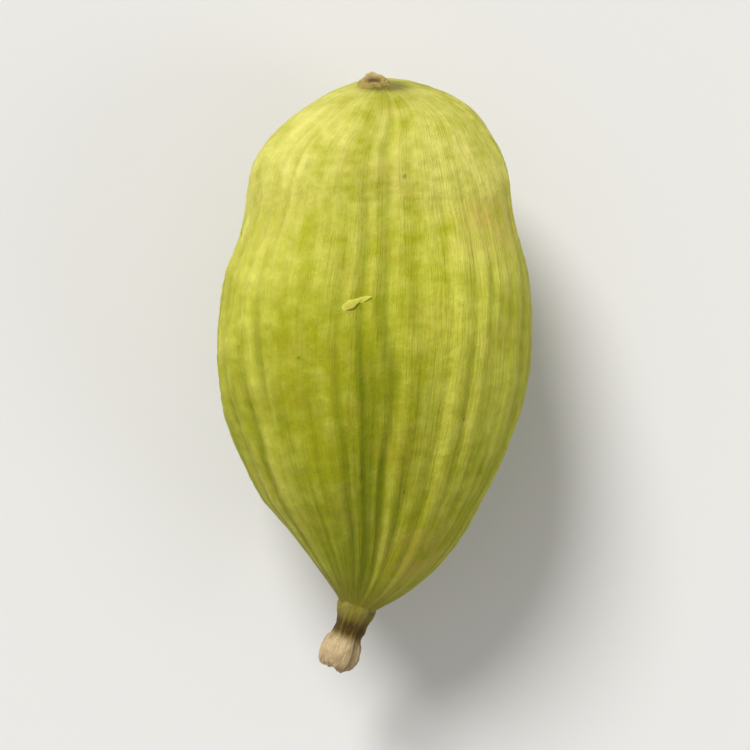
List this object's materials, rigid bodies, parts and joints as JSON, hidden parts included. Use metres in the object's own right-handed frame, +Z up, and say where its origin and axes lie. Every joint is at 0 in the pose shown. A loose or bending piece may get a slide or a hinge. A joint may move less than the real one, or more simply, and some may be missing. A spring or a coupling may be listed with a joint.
{
  "type": "spice_pod",
  "caption": "Dried green spice pod with a ribbed, lobed papery husk, a broken stalk stub at one end and a withered flower scar at the other, lying on its belly.",
  "frame": {"origin": "under the middle of the bounding box, on the resting plane", "axes": "X across the pod, Y along it with the flower scar towards +Y and the stalk towards -Y, Z up through the pictured face"},
  "size_m": [0.009, 0.0172, 0.0082],
  "materials": {
    "husk": "dry papery plant husk, yellow-green, faintly satin on the ribs"
  },
  "bodies": {
    "root": {"pod": "husk"}
  },
  "joints": []
}
